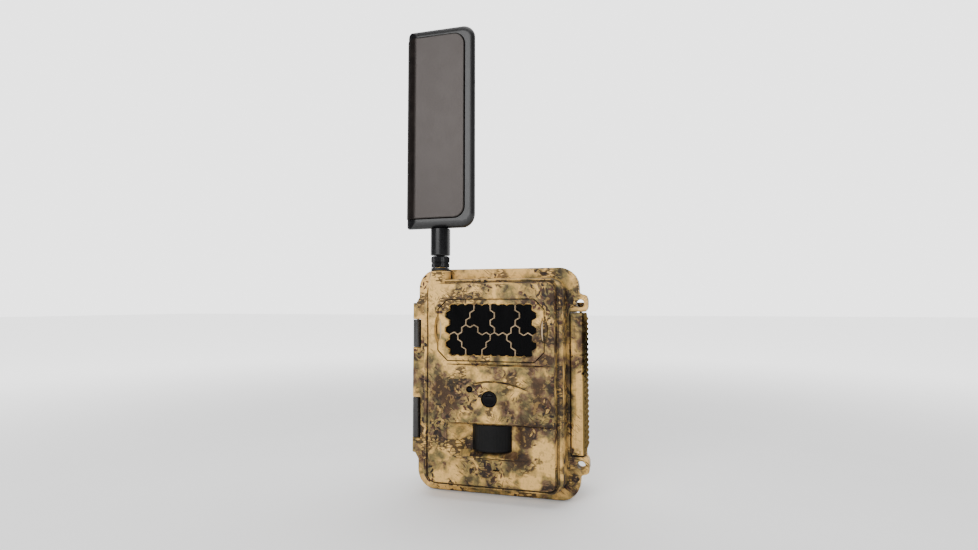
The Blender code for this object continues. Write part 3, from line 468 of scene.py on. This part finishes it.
def circle(x, y, radius, sides):
    angles = (2 * math.pi * i / sides for i in range(sides))
    return [(x + radius * math.cos(a), y + radius * math.sin(a)) for a in angles]


def contour(corners, insets):
    """An outline with round corners, given anticlockwise as (u, v, radius). Insets move its edges in."""
    count = len(corners)
    insets = [insets] * count if isinstance(insets, (int, float)) else insets
    edges = []
    for (ax, az, _), (bx, bz, _), inset in zip(corners, corners[1:] + corners[:1], insets):
        along = Vector((bx - ax, bz - az)).normalized()
        inward = Vector((-along.y, along.x))
        edges.append((along, inward, inward.dot(Vector((ax, az))) + inset))
    points = []
    for i, (_, _, radius) in enumerate(corners):
        (before, n, c), (after, m, d) = edges[i - 1], edges[i]
        det = n.x * m.y - n.y * m.x
        vertex = Vector(((c * m.y - d * n.y) / det, (n.x * d - m.x * c) / det))
        turn = math.atan2(before.x * after.y - before.y * after.x, before.dot(after))
        moved = (insets[i - 1] + insets[i]) / 2
        bend = max(radius - moved if turn > 0 else radius + moved, 0.05)
        start = vertex - before * bend * math.tan(abs(turn) / 2)
        centre = start + n * math.copysign(bend, turn)
        steps = 14 if radius > 5 else 6 if radius > 1 else 3
        for k in range(steps + 1):
            point = centre + Matrix.Rotation(turn * k / steps, 2) @ (start - centre)
            points.append((point.x, point.y))
    return points


def rect(x, z, radius):
    return [(x[1], z[0], radius), (x[1], z[1], radius), (x[0], z[1], radius), (x[0], z[0], radius)]


def octagon(half_width, low, high, corner):
    """The lamp window's outline, a rectangle with its corners cut off."""
    w, c = half_width, corner
    points = ((w - c, low), (w, low + c), (w, high - c), (w - c, high),
              (c - w, high), (-w, high - c), (-w, low + c), (c - w, low))
    return [(x, z, 1.2) for x, z in points]


def link(name, bm):
    """An object from a finished bmesh, with its faces looking outwards."""
    bmesh.ops.remove_doubles(bm, verts=bm.verts, dist=1e-7)
    bmesh.ops.recalc_face_normals(bm, faces=bm.faces)
    mesh = bpy.data.meshes.new(name)
    bm.to_mesh(mesh)
    bm.free()
    obj = bpy.data.objects.new(name, mesh)
    bpy.context.scene.collection.objects.link(obj)
    return obj


def loft(name, sections, axis="Y"):
    """A solid through flat outlines with equal numbers of points, each given with its place on the axis."""
    order = {"X": lambda u, v, w: (w, u, v), "Y": lambda u, v, w: (u, w, v), "Z": lambda u, v, w: (u, v, w)}
    bm = bmesh.new()
    rings = [[bm.verts.new([c * MM for c in order[axis](u, v, level)]) for u, v in outline]
             for outline, level in sections]
    for near, far in zip(rings, rings[1:]):
        for i in range(len(near)):
            bm.faces.new((near[i - 1], near[i], far[i], far[i - 1]))
    bm.faces.new(rings[0])
    bm.faces.new(rings[-1])
    return link(name, bm)


def slab(name, corners, levels, axis="Y"):
    """A loft of one outline, moved in by a different inset at each level."""
    return loft(name, [(contour(corners, inset), level) for level, inset in levels], axis)


def turned(name, centre, profile, axis="Z", sides=64, flutes=0, depth=0.0):
    """A solid of revolution through (radius, level) points; flutes cut shallow waves into its skin."""
    def ring(radius):
        for i in range(sides):
            a = 2 * math.pi * i / sides
            r = radius - depth * (0.5 - 0.5 * math.cos(flutes * a)) if flutes else radius
            yield (centre[0] + r * math.cos(a), centre[1] + r * math.sin(a))
    return loft(name, [(list(ring(radius)), level) for radius, level in profile], axis)


def rod(name, centre, radius, span):
    """An upright pin with small chamfers."""
    (low, high), edge = span, 0.3
    return turned(name, centre, [(radius - edge, low), (radius, low + edge), (radius, high - edge),
                                 (radius - edge, high)], sides=48)


def block(name, x, y, z):
    return slab(name, rect(x, z, 0.0), [(y[0], 0), (y[1], 0)])


def carve(body, operation, *tools):
    """Boolean operations made at once, so that no tool is left over."""
    for tool in tools:
        modifier = body.modifiers.new(tool.name, "BOOLEAN")
        modifier.operation = operation
        modifier.object = tool
    found = bpy.context.evaluated_depsgraph_get()
    mesh = bpy.data.meshes.new_from_object(body.evaluated_get(found))
    body.modifiers.clear()
    body.data = mesh
    for tool in tools:
        bpy.data.objects.remove(tool)


def cut(body, *tools):
    carve(body, "DIFFERENCE", *tools)


def join(body, *tools):
    carve(body, "UNION", *tools)


def merge(body, *others):
    """Shells put into one piece as they are."""
    bm = bmesh.new()
    for obj in (body, *others):
        bm.from_mesh(obj.data)
    bm.to_mesh(body.data)
    bm.free()
    for obj in others:
        bpy.data.objects.remove(obj)
    return body


def dress(obj, material, angle):
    """The material, and smooth shading that large faces lead."""
    obj.data.materials.clear()
    obj.data.materials.append(MATERIALS[material])
    obj.data.shade_smooth()
    obj.data.set_sharp_from_angle(angle=math.radians(angle))
    modifier = obj.modifiers.new("normals", "WEIGHTED_NORMAL")
    modifier.keep_sharp = True


def place(obj, body, material, *nodes, slot=None, angle=30):
    """Finish a piece: dress it, let it ride on its body and stand for its CAD nodes."""
    dress(obj, material, angle)
    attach(obj, body)
    slot or material
    if nodes:
        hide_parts(*nodes)


# ---- the door's shell ----

def door_outline():
    """The door's flange with its ears and latch notch on the right, and its hinge tabs on the left."""
    right = [(HALF, 16.6, 3.0), (EAR_TIP, 16.6, 2.6), (EAR_TIP, NOTCH[0], 3.2), (46.2, NOTCH[0], 0.6),
             (46.2, NOTCH[1], 0.6), (EAR_TIP, NOTCH[1], 3.2), (EAR_TIP, 123.4, 2.6), (HALF, 123.4, 3.0)]
    left, clear = [(-HALF, 122.0, 2.0)], -50.4
    for low, high in reversed(DOOR_BARRELS):
        high, low = high - 0.17, low + 0.17
        left += [(clear, high, 0.5), (HINGE[0], high, 0.3), (HINGE[0], low, 0.3), (clear, low, 0.5)]
    del left[1], left[-1]
    return ([(HALF, BOTTOM, 12)] + right + [(HALF, TOP, 12), (-HALF, TOP, 12)] + left
            + [(-HALF, 18.6, 2.0), (-HALF, BOTTOM, 12)])


def raised_face():
    """The face on the flange: a soft foot, a drafted wall, a step, and the platform with the windows."""
    wall, platform = rect((-44.1, 44.1), (6.4, 133.6), 9), rect((-39.4, 39.4), (9.5, 130.5), 5.1)
    levels = [(wall, -18.0, -1.3), (wall, -19.02, -1.3), (wall, -19.2, -0.75), (wall, -19.6, -0.3),
              (wall, -20.4, 0.0), (wall, -29.8, 0.7), (wall, -30.4, 0.85),
              (wall, -30.8, (1.3, 1.15, 1.3, 1.15)), (wall, -31.0, (2.4, 1.5, 2.4, 1.5)),
              (wall, -30.9, (2.8, 1.75, 2.8, 1.75)), (wall, -30.1, (3.1, 1.9, 3.1, 1.9)),
              (platform, -30.1, -0.5), (platform, -30.6, -0.35), (platform, -31.6, -0.1),
              (platform, -33.2, 0.3), (platform, -33.75, 0.6), (platform, FACE, 1.2)]
    return loft("raised_face", [(contour(corners, inset), level) for corners, level, inset in levels])


def antenna_column():
    """The antenna's boss, which runs down into the platform."""
    sections = ((138.4, 6.1, -25.0), (138.0, 6.5, -25.0), (135.5, 6.6, -25.2), (132.5, 6.9, -25.9),
                (129.5, 7.2, -26.4), (125.0, 7.3, -26.8), (118.0, 7.2, -26.95), (108.0, 6.8, -27.3),
                (98.0, 6.2, -27.75), (88.0, 5.6, -28.1))
    rings = [(circle(ANTENNA[0], y, radius, 48), z) for z, radius, y in sections]
    return loft("antenna_column", rings, "Z")


def groove(name, path, width, depth):
    """A V groove in the face along (x, z) points, shallow at both ends."""
    sections = []
    for i, (x, z) in enumerate(path):
        share = min(1.0, 0.12 + min(i, len(path) - 1 - i) / 3)
        wide = width * share + 0.6
        sections.append(([(FACE - 0.6, z + wide), (FACE - 0.6, z - wide), (FACE + depth * share, z)], x))
    return loft(name, sections, "X")


def brow_path():
    """The arc over the lens."""
    for i in range(25):
        x = -11.6 + 35.2 * i / 24
        yield x, 71.3 - 0.0098 * (x - 1.5) ** 2 - (0.006 * (x + 2) ** 2 if x < -2 else 0.0)


def sensor_pocket():
    """The motion sensor's pocket: a sharp overhang, a sloping sill, and cheeks that sweep out to the face."""
    sections = []
    for i in range(61):
        x = -27 + 67.5 * i / 60
        start, reach, rise = (-13, -13, 5.3) if x < 0 else (13, 9, 4.3)
        share = min(max((x - start) / reach, 0), 1)
        share *= share * (3 - 2 * share)
        floor = -28.0 - rise * share - 0.9 * min(max((x - 22) / 19, 0), 1)
        low = floor + (FACE + 0.15 - floor) * share * (0.5 if x < 0 else 0.85)
        sill = 29.3 + max(0, x - 22) * 0.78
        sections.append(([(FACE - 2, 46.4), (FACE + 0.05, 45.85), (floor - 0.35, 45.8), (floor, 45.4),
                          (low, sill + 1.1), (low - 0.1, sill + 0.5), (FACE - 0.1, sill - 2.5),
                          (FACE - 2, sill - 2.9)], x))
    return loft("sensor_pocket", sections, "X")


def scoops(name, reach, depth):
    """Shallow finger scoops at the middle of the bezel's left and right ends."""
    made = []
    for side in (-1, 1):
        bm = bmesh.new()
        bmesh.ops.create_uvsphere(bm, u_segments=37, v_segments=23, radius=1.0)
        spread = Matrix.Diagonal((reach * MM, depth * MM, 8.4 * MM, 1))
        bm.transform(Matrix.Translation((side * 33.04 * MM, (FACE - 0.37) * MM, 102.06 * MM)) @ spread)
        made.append(link(f"{name}_{side}", bm))
    return made


def front_cover():
    """The door's moulding: everything raised is joined on, then its room, windows and grooves are cut."""
    cover = slab("door_shell", door_outline(), [(-15.2, 0.0), (-18.0, 0.0), (-18.45, 0.08), (-18.8, 0.3),
                                                (-18.95, 0.6), (FLANGE_FRONT, 1.0)])
    barrels = [rod("door_barrel", HINGE, 3.0, span) for span in DOOR_BARRELS]
    join(cover, raised_face(), antenna_column(), *barrels)
    cut(cover, slab("shallow_room", rect((-42, 42), (8.6, 131.4), 7), [(-14, 0), (-26, 0)]),
        slab("deep_room", rect((-36.9, 36.9), (12, 128), 3), [(-25, 0), (-32, 0)]))
    join(cover, block("pocket_wall", (-37.7, 37.7), (-33.1, -26.3), (24.5, 47.8)))
    lens_way = turned("lens_way", LENS, [(6.5, -35.6), (5.3, -34.4), (4.95, -33.9), (4.95, -28)], "Y")
    eye_way = turned("eye_way", EYE, [(3.6, -35.6), (2.25, -34.3), (2.0, -33.9), (2.0, -28)], "Y", 40)
    lamp_way = slab("lamp_way", octagon(33.2, 83.1, 120.8, 6.2),
                    [(-35, -1.2), (-34.1, -0.35), (-33.9, -0.1), (-33.6, 0), (-28, 0)])
    mic_way = slab("mic_way", rect((2, 6), (19.3, 20.1), 0.39),
                   [(-35, -0.6), (-34, -0.15), (-33.7, 0), (-28, 0)])
    pin_way = rod("pin_way", HINGE, 1.35, (20, 121))
    boss_way = turned("boss_way", ANTENNA, [(3.2, 126), (3.2, 138.2), (3.5, 138.6), (3.5, 140)])
    ear_ways = [turned("ear_way", hole, [(3.2, -19.6), (2.5, -18.7), (2.5, -15.5), (2.9, -15.0), (2.9, -14)],
                       "Y") for hole in EAR_HOLES]
    sill = groove("sill", [(-12 + 35 * i / 8, 25.9 + 0.012 * (i - 4) ** 2) for i in range(9)], 0.4, 0.6)
    overhang = groove("overhang", [(-26.7 + 65.6 * i / 12, 46.15) for i in range(13)], 0.45, 0.85)
    ledge = groove("ledge", [(-27 + 66.4 * i / 12, 81.2) for i in range(13)], 0.55, 0.95)
    brow = groove("brow", list(brow_path()), 0.45, 0.8)
    cut(cover, sensor_pocket(), block("sensor_way", (-9, 9), (-30, -24), (32, 43)), lamp_way, lens_way,
        eye_way, mic_way, pin_way, boss_way, *ear_ways, overhang, sill, ledge, brow,
        *scoops("scoop", 2.3, 3.6))
    place(cover, "door", "camo_plastic", "front_cover")


# ---- the lamp window ----

WINDOW_Z, HEX_HALF = 102.05, 2.565
HEX_SIDE, HEX_ROWS = 2 * HEX_HALF / math.sqrt(3), 7
CELL_BREAKS = {0: (-4, 0, 6), 1: (-5, 1, 7), 2: (-6, 0, 6), 4: (-8, 0, 4), 5: (-7, -1, 5), 6: (-6, -2, 6)}
MIDDLE_ROW_CELLS = {-10: 0, -8: 0, -6: 5, -4: 5, -2: 1, 0: 1, 2: 2, 4: 2, 6: 7, 8: 3, 10: 3}


def hexagon(column, row):
    """A hexagon's corners as steps of half a width and half a side. The outermost rows are cut flat."""
    j = 3 * (HEX_ROWS // 2 - row)
    top = [(column + 0.5, j + 1.5), (column - 0.5, j + 1.5)] if row == 0 else [(column, j + 2)]
    foot = [(column - 0.5, j - 1.5), (column + 0.5, j - 1.5)] if row == HEX_ROWS - 1 else [(column, j - 2)]
    left, right = [(column - 1, j + 1), (column - 1, j - 1)], [(column + 1, j - 1), (column + 1, j + 1)]
    return top + left + foot + right


def hexagons():
    """Every hexagon, with the number of the cell that it belongs to."""
    for row in range(HEX_ROWS):
        for column in range(-10, 11, 2) if row % 2 else range(-9, 10, 2):
            if row == HEX_ROWS // 2:
                yield MIDDLE_ROW_CELLS[column], hexagon(column, row)
            else:
                cell = sum(column > edge for edge in CELL_BREAKS[row])
                yield cell + (4 if row > HEX_ROWS // 2 else 0), hexagon(column, row)


def rim(corner_lists):
    """The edges that only one hexagon of the group has, as a map from each one's start to its end."""
    edges = {(a, b) for corners in corner_lists for a, b in zip(corners, corners[1:] + corners[:1])}
    return {a: b for a, b in edges if (b, a) not in edges}


def walk(follow):
    """The corners of a rim in order, in millimetres, with a small radius, and the steps they came from."""
    loop = [min(follow)]
    while follow[loop[-1]] != loop[0]:
        loop.append(follow[loop[-1]])
    corners = [(k * HEX_HALF, WINDOW_Z + j * HEX_SIDE / 2, 0.5) for k, j in loop]
    return corners, list(zip(loop, loop[1:] + loop[:1]))


def led_bezel():
    """The bezel's frame, with the thin ribs between its eight cells set lower."""
    everything = list(hexagons())
    outer = rim([corners for _, corners in everything])
    window, _ = walk(outer)
    frame_piece = slab("lamp_bezel", octagon(32.8, 83.5, 120.4, 6),
                       [(-31.4, 0.0), (-33.3, 0.0), (-33.6, 0.1), (-33.75, 0.4)])
    opening = slab("window", window,
                   [(-35, -1.5), (-33.75, -0.55), (-33.4, -0.15), (-33.0, 0.05), (-30, 0.05)])
    cut(frame_piece, opening, *scoops("bezel_scoop", 2.5, 2.7))
    plate = slab("ribs", octagon(32.0, 84.3, 119.6, 6), [(-31.7, 0), (-32.9, 0)])
    rib = ((-34.5, 0.08), (-32.95, 0.08), (-32.65, 0.26), (-32.2, 0.31), (-31, 0.35))  # y and half width
    for number in range(8):
        corners, steps = walk(rim([hexes for cell, hexes in everything if cell == number]))
        levels = [(y, [0.0 if outer.get(a) == b else half for a, b in steps]) for y, half in rib]
        cut(plate, slab("cell", corners, levels))
    foot = slab("foot", octagon(34.2, 82.4, 121.5, 6), [(-29.9, 0), (-31.6, 0)])
    cut(foot, block("filter_room", (-30.2, 30.2), (-33, -28), (84.6, 119.4)))
    place(merge(frame_piece, foot), "door", "camo_plastic", "led_bezel", angle=40)
    place(plate, "door", "rib_plastic", slot="camo_plastic", angle=40)


# ---- lens and motion sensor ----

def lens():
    """The glass of the lens, stepped in rings, and the small light sensor's."""
    glass = turned("lens_front", LENS, [
        (6.4, -30.7), (6.4, -31.6), (4.6, -31.7), (4.6, -33.2), (4.35, -33.45), (3.3, -33.45), (3.15, -33.3),
        (3.0, -33.3), (2.6, -33.4), (1.6, -33.5), (0.5, -33.55)], "Y")
    place(glass, "door", "lens_glass", "lens_window")
    eye = turned("light_eye", EYE, [
        (3.0, -30.7), (3.0, -31.7), (1.7, -31.8), (1.7, -33.1), (1.3, -33.4), (0.3, -33.5)], "Y", 40)
    place(eye, "door", "lens_glass", "light_sensor_window")


def pir_window():
    """A curved window with faint upright lens facets."""
    radius, half_chord, facets = 16.0, 12.2, 15
    half = math.asin(half_chord / radius)
    sections = []
    for level, inset in ((29.7, 0.5), (29.85, 0.2), (30.2, 0), (44.9, 0), (45.25, 0.2), (45.4, 0.5)):
        outline = []
        for i in range(facets * 4 + 1):
            a = -half + 2 * half * i / (facets * 4)
            dip = 0.07 * abs(math.sin(math.pi * i / 4))
            r = radius - inset - 0.07 + dip
            outline.append((r * math.sin(a), FACE + radius - r * math.cos(a)))
        sections.append((outline + [(half_chord - 1.0, -27.6), (1.0 - half_chord, -27.6)], level))
    place(loft("motion_window", sections, "Z"), "door", "pir_window", "pir_lens", angle=40)


# ---- latch ----

def latch():
    """A lever with a rolled pivot, a shallow thumb recess in front and finger ribs along its side."""
    section = [(46.6, -17.0, 0.3), (46.6, -20.2, 0.9), (LATCH_SIDE, -20.2, 1.3), (LATCH_SIDE, 5.6, 2.5),
               (52.9, 9.7, 1.4), (50.2, 9.7, 0.8), (50.2, 6.0, 0.5), (51.9, 3.6, 1.2), (51.9, -17.0, 0.4)]
    low, high = LATCH_SPAN
    lever = slab("latch", section, [(low, 0.7), (low + 0.2, 0.25), (low + 0.7, 0.0), (high - 0.7, 0.0),
                                    (high - 0.2, 0.25), (high, 0.7)], "Z")
    join(lever, rod("latch_barrel", LATCH_PIN, 3.3, LATCH_SPAN))
    recess = slab("recess", rect((49, 52.9), (34, 106), 1.5), [(-21.5, -0.8), (-20.2, 0.0), (-19.9, 0.25)])
    cut(lever, recess, rod("pin_way", LATCH_PIN, 1.35, (20, 121)))
    ribs, root = [], 54.0
    for i in range(25):
        z = 30.6 + i * 3.24
        rib = [(53.6, z - 1.35), (54.5, z - 1.3), (55.0, z - 0.85), (55.25, z - 0.3), (55.25, z + 0.3),
               (55.0, z + 0.85), (54.5, z + 1.3), (53.6, z + 1.35)]
        ribs.append(loft("rib", [([(root + (x - root) * height, up) for x, up in rib], y) for y, height in (
            (-18.6, 0.4), (-18.1, 0.85), (-17.6, 1), (3.6, 1), (4.2, 0.8), (4.6, 0.4))]))
    merge(lever, *ribs)
    place(lever, "latch", "camo_plastic", "latch_lever")


# ---- antenna ----

def antenna():
    """The paddle with its long round left flank and raised panel, its stem and the knurled nut."""
    (x0, x1), (z0, z1) = BLADE_X, BLADE_Z
    frame_corners = [(x1, z0, 8.5), (x1, z1, 8.5), (x0, z1, 2.2), (x0, z0, 2.2)]
    shell = slab("antenna_frame", frame_corners, [
        (level, (right, end, left, end)) for level, right, end, left in (
            (-20.5, 3.6, 2.4, 1.6), (-20.7, 2.7, 1.6, 0.9), (-21.3, 2.0, 0.9, 0.35), (-22.6, 1.3, 0.3, 0.0),
            (-23.3, 1.0, 0.15, 0.15), (-24.1, 0.65, 0.05, 0.6), (-25.1, 0.3, 0.0, 1.4),
            (-26.05, 0.0, 0.1, 2.6), (-26.9, 0.3, 0.5, 4.0), (-27.65, 0.8, 1.4, 5.5),
            (-28.09, 1.4, 2.3, 6.5), (-28.35, 2.0, 3.1, 7.2), (-28.52, 2.7, 3.9, 7.9),
            (-28.6, 3.4, 4.6, 8.6))])
    left = x0 + 0.05
    panel_corners = [(-18.0, 172.2, 7.0), (-18.0, 290.6, 7.6), (left, 290.6, 0.6), (left, 172.2, 0.6)]
    cut(shell, slab("panel_room", panel_corners, [(-32, -0.55), (-22.9, -0.55)]))
    place(shell, "antenna", "antenna_frame", "antenna_blade", slot="black_plastic")
    panel = slab("antenna_face", panel_corners, [
        (level, (edge, edge, flank, edge)) for level, flank, edge in (
            (-23.2, 0.0, 0.0), (-23.6, 0.0, 0.0), (-24.2, 0.15, 0.0), (-25.0, 0.6, 0.0), (-26.0, 1.4, 0.0),
            (-26.95, 2.6, 0.0), (-27.8, 4.0, 0.0), (-28.55, 5.5, 0.0), (-28.99, 6.5, 0.02),
            (-29.25, 7.2, 0.12), (-29.42, 7.9, 0.36), (-29.5, 8.6, 0.8))])
    place(panel, "antenna", "antenna_plastic", "antenna_panel")
    stem = turned("antenna_base", ANTENNA, [
        (2.6, 147.1), (2.6, 148.3), (5.6, 148.3), (6.1, 148.5), (6.3, 149.0), (6.3, 164.9), (6.1, 165.3),
        (5.7, 165.5)])
    place(stem, "antenna", "black_plastic", "antenna_stem")
    knurled = turned("swivel_nut", ANTENNA, [
        (3.45, 140.8), (5.2, 140.8), (5.75, 141.1), (5.75, 143.2), (5.3, 143.4), (5.3, 143.9), (5.9, 144.1),
        (5.9, 147.2), (5.3, 147.7), (3.1, 148.0)], sides=144, flutes=36, depth=0.32)
    place(knurled, "antenna_nut", "black_plastic", "antenna_nut")


# ---- CAD pieces kept as they are ----

def soften(obj, width):
    """Join the CAD mesh's loose triangles and round its edges."""
    weld = obj.modifiers.new("weld", "WELD")
    weld.merge_threshold = 0.001 * MM
    bevel = obj.modifiers.new("round_edges", "BEVEL")
    bevel.width = width * MM
    bevel.segments = 2
    bevel.limit_method = "ANGLE"
    bevel.angle_limit = math.radians(35)
    bevel.harden_normals = True


def dress_cad_nodes():
    """Soft edges and materials for every CAD node that still shows."""
    materials = {"hinge_bracket_lower": "hinge_plastic", "hinge_bracket_upper": "hinge_plastic"}
    widths = {"rear_housing": 0.5}
    for part in frame["record"]["subparts"]:
        name = part["node"]
        node = frame["nodes"][name]
        if node.hide_render:
            continue
        soften(node, widths.get(name, 0.18))
        dress(node, materials.get(name, part["material_slot"]), 35)


# ---- stage ----

def soft_box(name, spot, target, size, radiance):
    """An area light given by how bright its face is."""
    data = bpy.data.lights.new(name, "AREA")
    data.shape = "RECTANGLE"
    data.size, data.size_y = size
    data.energy = radiance * math.pi * size[0] * size[1]
    light = bpy.data.objects.new(name, data)
    light.location = spot
    light.rotation_euler = (Vector(target) - Vector(spot)).to_track_quat("-Z", "Y").to_euler()
    bpy.context.scene.collection.objects.link(light)


def floor():
    """Pale paper, which glows a little far away so that it runs into the wall."""
    bm = bmesh.new()
    bmesh.ops.create_grid(bm, x_segments=1, y_segments=1, size=6)
    sheet = link("floor", bm)
    g = Graph("floor")
    paper = g.ramp(g.noise(g.place, 60, 2), (0.3, (0.80, 0.80, 0.80)), (0.7, (0.82, 0.82, 0.82)))
    far = g.step(g.vector("LENGTH", g.place), 250, 1000, (0.15, 1.5))
    sheet.data.materials.append(g.surface(paper, 0.9, Emission_Color=(1, 1, 1, 1), Emission_Strength=far))


def world():
    """A white wall behind the object, and a dim room elsewhere."""
    made = bpy.data.worlds.new("studio")
    made.use_nodes = True
    nodes, links = made.node_tree.nodes, made.node_tree.links
    where = nodes.new("ShaderNodeTexCoord")
    parts = nodes.new("ShaderNodeSeparateXYZ")
    links.new(where.outputs["Generated"], parts.inputs[0])
    wall = nodes.new("ShaderNodeMapRange")
    wall.interpolation_type = "SMOOTHSTEP"
    for name, value in (("From Min", 0.15), ("From Max", 0.5), ("To Min", 0.17), ("To Max", 2.9)):
        wall.inputs[name].default_value = value
    links.new(parts.outputs[1], wall.inputs["Value"])
    links.new(wall.outputs[0], nodes["Background"].inputs["Strength"])
    nodes["Background"].inputs["Color"].default_value = (1, 1, 1, 1)
    bpy.context.scene.world = made


def camera():
    """The photo's point of view, as a camera solve on its outline gave it."""
    data = bpy.data.cameras.new("camera")
    data.sensor_width = 36
    data.lens = 20.15
    data.clip_start = 0.01
    made = bpy.data.objects.new("camera", data)
    made.location = (0.0865, -0.3518, 0.1169)
    made.rotation_euler = (math.radians(93.17), 0, math.radians(15.28))
    bpy.context.scene.collection.objects.link(made)
    bpy.context.scene.camera = made


def main():
    front_cover()
    led_bezel()
    lens()
    pir_window()
    latch()
    antenna()
    dress_cad_nodes()
    floor()
    world()
    soft_box("key", (-0.32, -1.15, 0.60), (0, 0, 0.14), (0.85, 0.85), 7.3)
    soft_box("top", (0.1, -0.1, 1.3), (0, 0, 0.1), (1.0, 0.8), 2.6)
    camera()


main()
